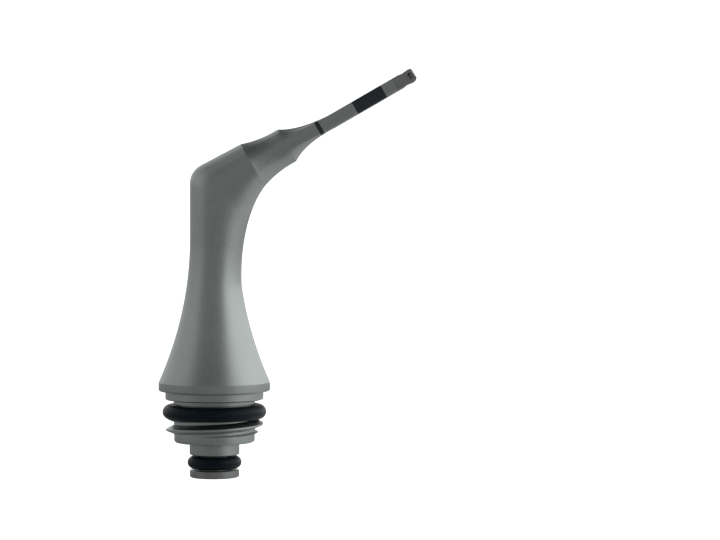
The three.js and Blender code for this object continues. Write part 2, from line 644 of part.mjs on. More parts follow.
function couplingCore() {
  const ringGap = (PLUG_RING_CORD + PLUG_RING_PLAY) / 2;
  const outline = [
    [0, PLUG_HEIGHT], [plugRadius - PLUG_EDGE, PLUG_HEIGHT], [plugRadius, PLUG_HEIGHT - PLUG_EDGE],
    [plugRadius, PLUG_RING_HEIGHT + ringGap], [plugRingInner - FIT_GAP, PLUG_RING_HEIGHT + ringGap],
    [plugRingInner - FIT_GAP, PLUG_RING_HEIGHT - ringGap], [plugRadius, PLUG_RING_HEIGHT - ringGap],
    [plugRadius, -FACE_GAP], [STEP_RADIUS, -FACE_GAP],
    [STEP_RADIUS, stepBottom + STEP_EDGE], [STEP_RADIUS - STEP_EDGE, stepBottom], [LAND_RADIUS, stepBottom],
    [LAND_RADIUS, largeGrooveTop], [largeGrooveRadius, largeGrooveTop],
    [largeGrooveRadius, largeGrooveBottom],
    [THREAD_ROOT, largeGrooveBottom], [THREAD_ROOT, threadBottom],
    ...lowerEdge(PLAIN_RADIUS, plainBottom, PLAIN_EDGE), [SPIGOT_RADIUS, plainBottom],
    ...lowerEdge(SPIGOT_RADIUS, spigotBottom, SPIGOT_EDGE), [0, spigotBottom],
  ];
  const top = PLUG_HEIGHT + 1;
  const ferruleSeat = PLUG_HEIGHT - FERRULE_SEAT - FACE_GAP;
  return turned(outline).add(threadRidge())
    .subtract(rod(shankRadius + FIT_GAP, spigotBottom - 1, nippleTop + FACE_GAP, ROUND))
    .subtract(rod(POWDER_TUBE_RADIUS + FIT_GAP, nippleTop - 0.1, top))
    .subtract(rod(POWDER_TUBE_RADIUS + FERRULE_WALL + FIT_GAP, ferruleSeat, top))
    .subtract(rod(WATER_PORT_RADIUS, plainBottom - 1, top, FINE, 0, WATER_PORT_Y))
    .subtract(rod(WATER_TUBE_RADIUS + FIT_GAP, PLUG_HEIGHT - WATER_TUBE_SEAT, top, FINE, 0, WATER_PORT_Y))
    .subtract(rod(WATER_TUBE_RADIUS + FERRULE_WALL + FIT_GAP, ferruleSeat, top, FINE, 0, WATER_PORT_Y));
}

function powderNipple() {
  const seat = POWDER_TUBE_RADIUS + FIT_GAP;
  const profile = [
    [NIPPLE_BORE, collarBottom], [NIPPLE_BORE, tubeSeatBottom - NIPPLE_CONE],
    [POWDER_TUBE_BORE, tubeSeatBottom], [seat, tubeSeatBottom], [seat, nippleTop],
    [shankRadius, nippleTop], [shankRadius, collarTop],
    [END_COLLAR_RADIUS, collarTop], ...lowerEdge(END_COLLAR_RADIUS, collarBottom, END_COLLAR_EDGE),
    [NIPPLE_BORE, collarBottom],
  ];
  return turned(profile);
}

function ferrule(tubeRadius, y) {
  const bottom = PLUG_HEIGHT - FERRULE_SEAT;
  return sleeve(tubeRadius + FIT_GAP, tubeRadius + FERRULE_WALL, bottom, bottom + FERRULE_HEIGHT, FINE, 0, y);
}

function tubeGuide() {
  const top = guideBottom + GUIDE_HEIGHT;
  return rod(CHANNEL_RADIUS - FIT_GAP, guideBottom, top).subtract(tubeHoles(guideBottom - 1, top + 1, 0));
}

function innerTube(radius, bore, bottom, lowY, y) {
  return swept(disc(radius, bore), tubeRoute(bottom, lowY, y, headStart + TUBE_END_INSET), 5);
}

// ---------------------------------------------------------------- assembly
const arm = new THREE.Group();
arm.position.copy(elbow);
arm.quaternion.copy(armTurn);
arm.add(
  part('blade_nozzle', bladeNozzle(), blastedSteel),
  part('outlet_head', outletHead(), turnedSteel),
  part('wide_depth_mark', depthMark(WIDE_MARK), markEnamel),
  part('thin_depth_mark', depthMark(THIN_MARK), markEnamel),
  part('nose_seal', noseSeal(), blackRubber),
);

const largeRing = ring(LARGE_RING_INNER, LARGE_RING_CORD, (largeGrooveTop + largeGrooveBottom) / 2);
const smallRing = ring(SMALL_RING_INNER, SMALL_RING_CORD, (spigotBottom + collarTop) / 2);
const coupling = new THREE.Group();
coupling.add(
  part('coupling_core', couplingCore(), blastedSteel),
  part('powder_nipple', powderNipple(), turnedSteel),
  part('large_o_ring', largeRing, blackRubber),
  part('small_o_ring', smallRing, blackRubber),
  part('plug_o_ring', ring(plugRingInner, PLUG_RING_CORD, PLUG_RING_HEIGHT), blackRubber),
  part('powder_ferrule', ferrule(POWDER_TUBE_RADIUS, 0), turnedSteel),
  part('water_ferrule', ferrule(WATER_TUBE_RADIUS, WATER_PORT_Y), turnedSteel),
);

const powderTubeBottom = tubeSeatBottom + FACE_GAP;
const powderTube = innerTube(POWDER_TUBE_RADIUS, POWDER_TUBE_BORE, powderTubeBottom, 0, POWDER_Y);
const waterTubeBottom = PLUG_HEIGHT - WATER_TUBE_SEAT + FACE_GAP;
const waterTube = innerTube(WATER_TUBE_RADIUS, WATER_TUBE_BORE, waterTubeBottom, WATER_PORT_Y, WATER_Y);
const sprayTip = new THREE.Group();
sprayTip.add(
  coupling,
  part('elbow_body', elbowBody(), blastedSteel),
  part('tube_guide', tubeGuide(), bushPolymer),
  part('powder_tube', powderTube, tubeSteel),
  part('water_tube', waterTube, tubeSteel),
  arm,
);

export default sprayTip;
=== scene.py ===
import math

import bpy
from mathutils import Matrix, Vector


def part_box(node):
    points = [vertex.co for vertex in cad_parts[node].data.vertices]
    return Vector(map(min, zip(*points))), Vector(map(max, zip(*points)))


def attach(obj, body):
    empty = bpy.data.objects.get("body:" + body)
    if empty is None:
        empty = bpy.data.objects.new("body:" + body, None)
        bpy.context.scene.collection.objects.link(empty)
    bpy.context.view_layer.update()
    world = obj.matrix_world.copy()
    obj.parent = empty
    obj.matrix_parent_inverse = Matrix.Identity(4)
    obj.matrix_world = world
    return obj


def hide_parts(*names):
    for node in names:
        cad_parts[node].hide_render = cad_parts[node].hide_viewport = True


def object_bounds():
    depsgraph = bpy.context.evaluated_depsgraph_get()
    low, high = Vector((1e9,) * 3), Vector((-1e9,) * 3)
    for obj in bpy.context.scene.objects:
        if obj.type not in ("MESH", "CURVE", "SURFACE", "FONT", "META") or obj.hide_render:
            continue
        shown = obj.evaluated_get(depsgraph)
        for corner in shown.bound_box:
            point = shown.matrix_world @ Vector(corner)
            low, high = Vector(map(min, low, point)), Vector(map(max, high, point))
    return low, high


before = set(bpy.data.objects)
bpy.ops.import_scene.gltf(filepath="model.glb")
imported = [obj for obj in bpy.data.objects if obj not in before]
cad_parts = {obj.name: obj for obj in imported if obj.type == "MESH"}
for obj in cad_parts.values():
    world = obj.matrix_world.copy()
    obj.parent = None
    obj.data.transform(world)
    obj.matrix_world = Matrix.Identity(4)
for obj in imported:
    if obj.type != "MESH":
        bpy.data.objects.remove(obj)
cad_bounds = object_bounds()

MM = 0.001
ROUND = 128  # faces round a turned piece
CORD = 32  # faces round an O-ring's section

# ---------------------------------------------------------------- sizes, in millimetres


def node_box(name):
    """Lowest and highest corner of a CAD node, in millimetres."""
    low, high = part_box(name)
    return low / MM, high / MM


body_high = node_box("elbow_body")[1]
core_low, core_high = node_box("coupling_core")
nipple_low, nipple_high = node_box("powder_nipple")
large_low, large_high = node_box("large_o_ring")
small_low, small_high = node_box("small_o_ring")

# Bend
ELBOW_HEIGHT = 18.16  # where the arm's axis crosses the coupling axis
ARM_RISE = math.radians(30)
BEND = math.pi / 2 - ARM_RISE
COLLAR_RADIUS = 2.15
COLLAR_REACH = 4.02  # along the arm's axis

# Bell and bent tube
FLANGE_RADIUS = body_high.y
FLANGE_HEIGHT = 0.78
FLANGE_CHAMFER = 0.16
BELL_HEIGHT = 13.8
BELL_FLARE = 2.05
TUBE_RADIUS = 2.16
ELBOW_RADIUS = 1.8
BACK_TAPER = 0.039  # slope of the stub's back down to the collar
CROTCH_START = 9.4
CROTCH_PULL_UP = (-0.16, 0.36)  # across, and along Z as a share of the curve's height
CROTCH_PULL_BACK = (1.6, 0.23)
FAN_HEIGHT = BELL_HEIGHT - 1  # the sections start to turn here
WALL = 0.75
CHANNEL_RADIUS = 1.5
CHANNEL_BEND = 3.6
CHANNEL_START = 9.8
PLUG_BORE = 3.4
PLUG_BORE_DEPTH = 2.35
SOCKET_RADIUS = 1.6
SOCKET_START = COLLAR_REACH - 1.85
EDGE_BREAK = 0.05  # what a deburring stone takes off a crisp edge
JOINT_EDGE = 0.008  # the two edges of the joint at the collar are left sharper
JOINT_GAP = 0.004  # and are pressed together, as the enamel is into its recess

# Blade and head, along the arm's axis
FACE_GAP = 0.02
NECK_RADIUS = 1.64
NECK_END = 7.0
FLAT_START = 7.5
FLAT_END = 12.0
BLADE_HALF = 0.635  # half thickness
BLADE_HALF_WIDTH = 2.2  # of the oval that the two faces are milled to
BLADE_WAIST = 1.35  # the pull that narrows the oval along the run-outs
BLADE_DROP = 0.18  # the blade lies this far below the neck's axis
BLADE_MIDDLE = -0.5  # and is this far over to its -Y side
FACE_PULL = 0.025
SIDE_START = 7.9
SIDE_END = 13.6
SIDE_PULL = 0.08
BLADE_SIDE = 0.56
TIP_REACH = 20.5
HEAD_START = TIP_REACH - 1.98
SPIGOT_START = SOCKET_START + 0.49  # leaves room for the nose seal
INLAY = 0.05
WIDE_MARK = (TIP_REACH - 6.11, TIP_REACH - 3.15)
THIN_MARK = (TIP_REACH - 9.9, TIP_REACH - 9.52)
POWDER_Y = -1.0
POWDER_TUBE = 0.36
POWDER_BORE = 0.28
WATER_Y = -0.04
WATER_TUBE = 0.24
WATER_BORE = 0.17

# Coupling
CORE_TOP = core_high.z
STEP_RADIUS = core_high.y
STEP_BOTTOM = -0.76
STEP_EDGE = 0.08
LAND_RADIUS = 3.64
GROOVE_TOP = STEP_BOTTOM - 0.34
LARGE_CORD = large_high.z - large_low.z
LARGE_INNER = large_high.y - LARGE_CORD
GROOVE_BOTTOM = GROOVE_TOP - LARGE_CORD - 0.12
THREAD_ROOT = 3.62
THREAD_CREST = 4.36
THREAD_PITCH = 1.07
THREAD_LEFT_CREST = GROOVE_BOTTOM - 0.93  # the crest on the -X side
THREAD_CREST_FLAT = 0.18
THREAD_CREST_EDGE = 0.05
THREAD_UPPER_FLANK = 0.43
THREAD_LOWER_FLANK = 0.33
THREAD_LEAD = 0.42  # height of the chamfer that starts the thread
THREAD_BOTTOM = GROOVE_BOTTOM - 1.35
PLAIN_RADIUS = 3.6
PLAIN_BOTTOM = THREAD_BOTTOM - 0.7
PLAIN_EDGE = 0.25
SPIGOT_RADIUS = 2.23
SPIGOT_BOTTOM = core_low.z
SPIGOT_EDGE = 0.15
SMALL_CORD = small_high.z - small_low.z
SMALL_INNER = small_high.y - SMALL_CORD
SHANK_RADIUS = SMALL_INNER - FACE_GAP
END_COLLAR_RADIUS = nipple_high.y
END_COLLAR_EDGE = 0.16
COLLAR_TOP = nipple_low.z + 0.68
PLUG_EDGE = 0.15
PLUG_RING_CORD = 0.5
PLUG_RING_GROOVE = (0.8, 1.4)
WATER_PORT_Y = 2.5
WATER_PORT_RADIUS = 0.2
WATER_TUBE_SEAT = 0.75
FERRULE_WALL = 0.25
FERRULE_SEAT = 0.6
NIPPLE_BORE = 0.75
NIPPLE_SHANK = 2.8
NIPPLE_CONE = 0.6
POWDER_TUBE_SEAT = 1.5

arm_axis = Vector((math.cos(ARM_RISE), 0, math.sin(ARM_RISE)))
arm_up = Vector((-math.sin(ARM_RISE), 0, math.cos(ARM_RISE)))


def arm_point(along, above=0.0):
    """A point of the bend plane, given along the arm's axis and above it."""
    return Vector((0, 0, ELBOW_HEIGHT)) + arm_axis * along + arm_up * above


# ---------------------------------------------------------------- curves


def arc(centre, radius, start, end, steps):
    """Points on an arc in a profile's plane, from one angle in degrees to another."""
    points = []
    for i in range(steps + 1):
        angle = math.radians(start + (end - start) * i / steps)
        points.append((centre[0] + radius * math.cos(angle), centre[1] + radius * math.sin(angle)))
    return points


def bezier(controls, steps):
    """Points on the Bezier curve of any order that the controls pull."""
    points = []
    for i in range(steps + 1):
        level = [Vector(c) for c in controls]
        while len(level) > 1:
            level = [a.lerp(b, i / steps) for a, b in zip(level, level[1:])]
        points.append(level[0])
    return points


# ---------------------------------------------------------------- modelling by hand


def only(obj):
    """Leaves this object alone selected and active."""
    bpy.ops.object.select_all(action="DESELECT")
    obj.select_set(True)
    bpy.context.view_layer.objects.active = obj


def begin(name, point):
    """A new mesh of one selected vertex, open in edit mode."""
    bpy.ops.object.select_all(action="DESELECT")
    bpy.ops.mesh.primitive_plane_add(size=1, location=(0, 0, 0))
    obj = bpy.context.object
    obj.name = name
    obj.data.name = name
    bpy.ops.object.mode_set(mode="EDIT")
    bpy.ops.mesh.select_all(action="SELECT")
    bpy.ops.mesh.merge(type="CENTER")
    bpy.ops.transform.translate(value=point)
    return obj


def draw(points):
    """Extrudes the selected vertex from point to point."""
    for here, there in zip(points, points[1:]):
        step = Vector(there) - Vector(here)
        bpy.ops.mesh.extrude_region_move(TRANSFORM_OT_translate={"value": step})


def close_up(obj):
    """Welds doubles, turns every face outwards and leaves edit mode."""
    bpy.ops.mesh.select_all(action="SELECT")
    bpy.ops.mesh.remove_doubles(threshold=1e-4)
    bpy.ops.mesh.normals_make_consistent(inside=False)
    bpy.ops.object.mode_set(mode="OBJECT")
    return obj


def turned(name, profile, steps=ROUND):
    """A closed profile of (radius, height) pairs spun about the coupling axis."""
    points = [(radius, 0, height) for radius, height in profile]
    obj = begin(name, points[0])
    draw(points + points[:1])
    bpy.ops.mesh.select_all(action="SELECT")
    bpy.ops.mesh.spin(steps=steps, angle=2 * math.pi, center=(0, 0, 0), axis=(0, 0, 1))
    return close_up(obj)


def prism(name, outline, low, high, along="Y"):
    """An outline of (across, height) pairs, filled and extruded along X or Y from low to high."""
    if along == "Y":
        points = [(across, low, height) for across, height in outline]
        reach = (0, high - low, 0)
    else:
        points = [(low, across, height) for across, height in outline]
        reach = (high - low, 0, 0)
    obj = begin(name, points[0])
    draw(points)
    bpy.ops.mesh.select_all(action="SELECT")
    bpy.ops.mesh.edge_face_add()
    bpy.ops.mesh.extrude_region_move(TRANSFORM_OT_translate={"value": reach})
    return close_up(obj)


def block(name, low, high):
    outline = [(low[0], low[2]), (high[0], low[2]), (high[0], high[2]), (low[0], high[2])]
    return prism(name, outline, low[1], high[1])


def slice_of_arm(start, end):
    return block("slice", (-4, -4, start), (4, 4, end))


def rod(name, radius, bottom, top, x=0.0, y=0.0, steps=48):
    """A plain round bar along Z, used up as a drill or a reamer."""
    bpy.ops.object.select_all(action="DESELECT")
    bpy.ops.mesh.primitive_cylinder_add(
        vertices=steps, radius=radius, depth=top - bottom, location=(x, y, (top + bottom) / 2))
    obj = bpy.context.object
    obj.name = name
    bpy.ops.object.transform_apply(location=True, rotation=True, scale=True)
    return obj


def modify(obj, kind, **settings):
    """Adds a modifier with its settings and applies it."""
    only(obj)
    modifier = obj.modifiers.new(kind.title(), kind)
    for key, value in settings.items():
        setattr(modifier, key, value)
    bpy.ops.object.modifier_apply(modifier=modifier.name)


def combine(obj, operation, *tools):
    """Joins the tools to the object, cuts them from it or keeps what they share, and uses them up."""
    for tool in tools:
        modify(obj, "BOOLEAN", object=tool, operation=operation, solver="EXACT")
        bpy.data.objects.remove(tool)
    return obj


def copy_of(obj, name):
    """A copy with its own mesh."""
    only(obj)
    bpy.ops.object.duplicate()
    twin = bpy.context.object
    twin.name = name
    twin.data.name = name
    return twin


def reshape(old, new):
    """Turns, sizes and moves the selected loop from one section's place to another's."""
    centre, half_x, half_y, tilt = old
    new_centre, new_half_x, new_half_y, new_tilt = new
    # transform.rotate turns the other way in the background
    bpy.ops.transform.rotate(value=tilt, orient_axis="Y", center_override=centre)
    bpy.ops.transform.resize(value=(new_half_x / half_x, new_half_y / half_y, 1), center_override=centre)
    bpy.ops.transform.rotate(value=-new_tilt, orient_axis="Y", center_override=centre)
    bpy.ops.transform.translate(value=new_centre - centre)


def lofted(name, sections, hollow=False):
    """A circle extruded from section to section. A section is its centre, its half width in the plane of the
    bend, its half width along Y, and its tilt. A hollow one ends where it began, and its two ends are
    bridged. Any other is filled at both ends."""
    bpy.ops.object.select_all(action="DESELECT")
    bpy.ops.mesh.primitive_circle_add(vertices=ROUND, radius=1, location=(0, 0, 0))
    obj = bpy.context.object
    obj.name = name
    obj.data.name = name
    bpy.ops.object.mode_set(mode="EDIT")
    bpy.ops.mesh.select_all(action="SELECT")
    here = (Vector((0, 0, 0)), 1, 1, 0)
    for section in sections:
        if section is not sections[0]:
            bpy.ops.mesh.extrude_region()
        reshape(here, section)
        here = section
    bpy.ops.mesh.select_all(action="DESELECT")
    bpy.ops.mesh.select_non_manifold()
    if hollow:
        bpy.ops.mesh.bridge_edge_loops()
    else:
        bpy.ops.mesh.fill_holes(sides=0)
    return close_up(obj)


def finish_piece(obj, cad_node, material, smooth=30, on_arm=False):
    """Puts a drawn piece in its place in metres, and hides the CAD node it stands for."""
    only(obj)
    bpy.ops.object.mode_set(mode="EDIT")
    bpy.ops.mesh.select_all(action="SELECT")
    bpy.ops.mesh.remove_doubles(threshold=1e-3)
    bpy.ops.object.mode_set(mode="OBJECT")
    if on_arm:
        obj.rotation_euler = (0, BEND, 0)
        obj.location = (0, 0, ELBOW_HEIGHT)
        bpy.ops.object.transform_apply(location=True, rotation=True, scale=True)
    obj.scale = (MM, MM, MM)
    bpy.ops.object.transform_apply(location=True, rotation=True, scale=True)
    bpy.ops.object.shade_smooth_by_angle(angle=math.radians(smooth))
    obj.data.materials.clear()
    obj.data.materials.append(material)
    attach(obj, "root")
    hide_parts(cad_node)


# ---------------------------------------------------------------- bell and bent tube


def bell_radius(height):
    share = min(1, max(0, (height - FLANGE_HEIGHT) / (BELL_HEIGHT - FLANGE_HEIGHT)))
    return TUBE_RADIUS + (FLANGE_RADIUS - TUBE_RADIUS) * (1 - share) ** BELL_FLARE


def bell_heights(steps=40):
    return [FLANGE_HEIGHT + (BELL_HEIGHT - FLANGE_HEIGHT) * i / steps for i in range(steps + 1)]


def back_edge():
    """The body's edge in the bend plane, up the back and over the elbow to the collar."""
    collar = arm_point(COLLAR_REACH, COLLAR_RADIUS)
    taper = (arm_axis - arm_up * BACK_TAPER).normalized()
    turn = math.acos(taper.z)
    corner_height = collar.z - taper.z * (collar.x + TUBE_RADIUS) / taper.x
    centre_x = ELBOW_RADIUS - TUBE_RADIUS
    centre_z = corner_height - ELBOW_RADIUS * math.tan(turn / 2)
    edge = [Vector((-bell_radius(height), 0, height)) for height in bell_heights()]
    for x, z in arc((centre_x, centre_z), ELBOW_RADIUS, 180, 180 - math.degrees(turn), 24):
        edge.append(Vector((x, 0, z)))
    edge.append(collar + taper * 0.5)
    return edge


def crotch_edge():
    """The body's edge in the bend plane, up the front and out under the arm to the collar."""
    heights = [height for height in bell_heights() if height < CROTCH_START - 0.1]
    edge = [Vector((bell_radius(height), 0, height)) for height in heights]
    start = Vector((bell_radius(CROTCH_START), 0, CROTCH_START))
    end = arm_point(COLLAR_REACH, -COLLAR_RADIUS)
    span = end.z - start.z
    pull_up = start + Vector((CROTCH_PULL_UP[0], 0, CROTCH_PULL_UP[1] * span))
    pull_back = end - Vector((CROTCH_PULL_BACK[0], 0, CROTCH_PULL_BACK[1] * span))
    edge += bezier([start, pull_up, pull_back, end], 48)
    edge.append(end + arm_axis * 0.5)
    return edge


def meets(start, direction, edge):
    """Where a ray in the bend plane meets an edge."""
    for p, q in zip(edge, edge[1:]):
        step = q - p
        cross = direction.x * step.z - direction.z * step.x
        if abs(cross) < 1e-9:
            continue
        share = (direction.z * (p.x - start.x) - direction.x * (p.z - start.z)) / cross
        reach = ((p.x - start.x) * step.z - (p.z - start.z) * step.x) / cross
        if -1e-6 <= share <= 1 + 1e-6 and reach > 0:
            return p + step * share
    raise ValueError("a section of the bend misses an edge")


def outside_sections():
    """Sections up the outside: the flange, the bell, and a fan round the bend to the collar."""
    back = back_edge()
    crotch = crotch_edge()
    collar = arm_point(COLLAR_REACH)
    fan = Vector((collar.x + (collar.z - FAN_HEIGHT) * math.tan(ARM_RISE), 0, FAN_HEIGHT))

    def across(start, direction, half_width, tilt):
        near = meets(start, direction, crotch)
        far = meets(start, direction, back)
        return ((near + far) / 2, (near - far).length / 2, half_width, tilt)

    sections = []
    for x, z in arc((FLANGE_RADIUS - FLANGE_CHAMFER, FLANGE_CHAMFER), FLANGE_CHAMFER, -90, 0, 8):
        sections.append((Vector((0, 0, z)), x, x, 0))
    heights = [height for height in bell_heights() if height < FAN_HEIGHT - 0.2]
    sections.append((Vector((0, 0, FLANGE_HEIGHT)), FLANGE_RADIUS, FLANGE_RADIUS, 0))
    for height in heights[1:]:
        level = Vector((fan.x, 0, height))
        sections.append(across(level, Vector((-1, 0, 0)), bell_radius(height), 0))
    steps = 48
    for i in range(steps + 1):
        tilt = BEND * i / steps
        ray = Vector((-math.cos(tilt), 0, math.sin(tilt)))
        half_width = bell_radius(FAN_HEIGHT) + (COLLAR_RADIUS - bell_radius(FAN_HEIGHT)) * i / steps
        sections.append(across(fan, ray, half_width, tilt))
    centre, half_x, half_y, tilt = sections.pop()
    sections.append((centre - arm_axis * JOINT_EDGE, half_x, half_y, tilt))
    sections.append((centre, half_x - JOINT_EDGE, half_y - JOINT_EDGE, tilt))
    return sections


def inside_sections():
    """Sections down the inside: nose socket, channel round the elbow, cavity and plug bore."""
    def level(radius, height):
        return (Vector((0, 0, height)), radius, radius, 0)

    def along(radius, reach):
        return (arm_point(reach), radius, radius, BEND)

    trim = CHANNEL_BEND * math.tan(BEND / 2)
    sections = [
        along(SOCKET_RADIUS + EDGE_BREAK, COLLAR_REACH), along(SOCKET_RADIUS, COLLAR_REACH - EDGE_BREAK),
        along(SOCKET_RADIUS, SOCKET_START), along(CHANNEL_RADIUS, SOCKET_START),
    ]
    centre = Vector((CHANNEL_BEND, 0, ELBOW_HEIGHT - trim))
    for i in range(17):
        tilt = BEND * (1 - i / 16)
        point = centre + Vector((-math.cos(tilt), 0, math.sin(tilt))) * CHANNEL_BEND
        sections.append((point, CHANNEL_RADIUS, CHANNEL_RADIUS, tilt))
    for i in range(21):
        height = CHANNEL_START + (PLUG_BORE_DEPTH - CHANNEL_START) * i / 20
        radius = min(PLUG_BORE, max(CHANNEL_RADIUS, bell_radius(height) - WALL))
        sections.append(level(radius, height))
    sections += [level(PLUG_BORE, EDGE_BREAK), level(PLUG_BORE + EDGE_BREAK, 0)]
    return sections


def bell_and_elbow(material):
    """One blasted shell: flange, flared bell, elbow and the short stub up to the crisp collar edge."""
    body = lofted("bell_and_elbow", inside_sections() + outside_sections(), hollow=True)
    finish_piece(body, "elbow_body", material, smooth=15)


# ---------------------------------------------------------------- blade, drawn along Z, then laid on the arm


def crowned_faces(inset):
    """The bar that the upper and lower faces are milled to: ovals that leave the neck's round and settle."""
    start = NECK_RADIUS + 0.01
    pull = (BLADE_HALF + FACE_PULL, (2 * FLAT_START + FLAT_END) / 3, 0)
    runout = bezier([(start, FLAT_START, 0), pull, (BLADE_HALF, FLAT_END, 0)], 20)
    sections = [
        (Vector((0, 0, COLLAR_REACH - 1)), 3, 3, 0),
        (Vector((0, 0, FLAT_START - 0.1)), 3, 3, 0),
    ]
    widths = bezier([(start, 0, 0), (BLADE_WAIST, 0, 0), (BLADE_HALF_WIDTH, 0, 0)], 20)
    for i, (point, half_width) in enumerate(zip(runout, widths)):
        share = i / 20
        centre = Vector((BLADE_DROP * share ** 2, BLADE_MIDDLE * share, point.y))
        sections.append((centre, point.x - inset, half_width.x - inset, 0))
    end = Vector((BLADE_DROP, BLADE_MIDDLE, TIP_REACH + 1))
    sections.append((end, BLADE_HALF - inset, BLADE_HALF_WIDTH - inset, 0))
    return lofted("faces", sections)


def milled_side(inset):
    """The bar that the +Y side is milled to."""
    pull = (BLADE_SIDE + SIDE_PULL, 0.6 * SIDE_START + 0.4 * SIDE_END, 0)
    runout = bezier([(NECK_RADIUS + 0.01, SIDE_START, 0), pull, (BLADE_SIDE, SIDE_END, 0)], 20)
    side = [(3, COLLAR_REACH - 1), (3, SIDE_START - 0.1)]
    side += [(point.x, point.y) for point in runout]
    side.append((BLADE_SIDE, TIP_REACH + 1))
    side = [(across - inset, along) for across, along in side]
    side += [(-3, TIP_REACH + 1), (-3, COLLAR_REACH - 1)]
    return prism("side", side, -4, 4, "X")


def blade_blank(name, inset=0.0):
    """The turned neck with its two faces and one side milled, all surfaces moved in by the inset."""
    start = COLLAR_REACH + JOINT_GAP
    middle = (start + NECK_END) / 2
    neck = bezier([(COLLAR_RADIUS, start, 0), (NECK_RADIUS, middle, 0), (NECK_RADIUS, NECK_END, 0)], 20)
    profile = [(0, start), (COLLAR_RADIUS - JOINT_EDGE - inset, start)]
    profile += [(point.x - inset, point.y + JOINT_EDGE) for point in neck]
    profile += [(NECK_RADIUS - inset, TIP_REACH), (0, TIP_REACH)]
    return combine(turned(name, profile), "INTERSECT", crowned_faces(inset), milled_side(inset))


def mark_recess(start, end):
    """The shallow band cut round the blade that the enamel fills."""
    recess = slice_of_arm(start - JOINT_GAP, end + JOINT_GAP)
    return combine(recess, "DIFFERENCE", copy_of(recess_blank, "floor_of_recess"))


def drill_for_tubes(obj, start, end):
    powder = rod("powder_drill", POWDER_TUBE + FACE_GAP, start, end, BLADE_DROP, POWDER_Y)
    water = rod("water_drill", WATER_TUBE + FACE_GAP, start, end, BLADE_DROP, WATER_Y)
    combine(obj, "DIFFERENCE", powder, water)


def neck_and_blade(material):
    """Turned neck, milled blade and the spigot that sits in the elbow."""
    blade = copy_of(full_blank, "neck_and_blade")
    combine(blade, "DIFFERENCE", slice_of_arm(HEAD_START, TIP_REACH + 1))
    combine(blade, "DIFFERENCE", mark_recess(*WIDE_MARK), mark_recess(*THIN_MARK))
    spigot = rod("spigot", SOCKET_RADIUS - FACE_GAP, SPIGOT_START, COLLAR_REACH + 0.5, steps=ROUND)
    combine(blade, "UNION", spigot)
    drill_for_tubes(blade, SPIGOT_START - 1, TIP_REACH + 1)
    finish_piece(blade, "blade_nozzle", material, smooth=20, on_arm=True)


def depth_mark(name, cad_node, start, end, material):
    """A band of filled enamel let into the blade, flush with it."""
    band = copy_of(full_blank, name)
    combine(band, "INTERSECT", slice_of_arm(start, end))
    combine(band, "DIFFERENCE", copy_of(inlay_blank, "core_of_band"))
    finish_piece(band, cad_node, material, smooth=20, on_arm=True)


HEAD_NOSE = 0.4
HEAD_NOSE_FLAT = 0.3
HEAD_CORNER = 0.22
HEAD_WAIST = 0.54
WAIST_LEAD = 0.4
WINDOW_START = TIP_REACH - 1.12
POWDER_WINDOW_END = TIP_REACH - 0.4
WATER_WINDOW_END = TIP_REACH - 0.72
POWDER_WINDOW_WIDTH = 0.56
WATER_WINDOW_WIDTH = 0.42
SLOT_START = TIP_REACH - 0.56
SLOT_END = TIP_REACH - 0.42
SLOT_SIDES = (-0.78, 0.05)
SLOT_DEPTH = 0.42
SIDE_PORT_RADIUS = 0.3
SIDE_PORT_REACH = TIP_REACH - 0.42
TUBE_END = HEAD_START + 0.32


def head_side_outline():
    """The head seen from its side: scooped at the windows, round at the nose."""
    lower = [(BLADE_HALF, HEAD_START - 1)]
    waist_start = WINDOW_START - WAIST_LEAD
    for i in range(17):
        dip = (1 - math.cos(2 * math.pi * i / 16)) / 2
        along = waist_start + (POWDER_WINDOW_END - waist_start) * i / 16
        lower.append((BLADE_HALF - (BLADE_HALF - HEAD_WAIST) * dip, along))
    for i in range(1, 9):
        angle = math.pi / 2 * i / 8
        across = HEAD_NOSE_FLAT + (BLADE_HALF - HEAD_NOSE_FLAT) * math.cos(angle)
        lower.append((across, TIP_REACH - HEAD_NOSE * (1 - math.sin(angle))))
    upper = [(BLADE_DROP - across, along) for across, along in reversed(lower)]
    return [(BLADE_DROP + across, along) for across, along in lower] + upper


def head_plan_outline():
    """The head seen from above: square, with its two corners rounded."""
    corner = TIP_REACH - HEAD_CORNER
    plan = [(-NECK_RADIUS - 0.01, HEAD_START - 1)]
    plan += arc((HEAD_CORNER - NECK_RADIUS, corner), HEAD_CORNER, 180, 90, 8)
    plan += arc((BLADE_SIDE - HEAD_CORNER, corner), HEAD_CORNER, 90, 0, 8)
    return plan + [(BLADE_SIDE, HEAD_START - 1)]


def window(centre, width, end):
    """A cutter for a window through the head, with round corners."""
    cutter = block("window", (-2, centre - width / 2, WINDOW_START), (2, centre + width / 2, end))
    modify(cutter, "BEVEL", width=0.06, segments=3, limit_method="ANGLE", angle_limit=math.radians(60))
    return cutter


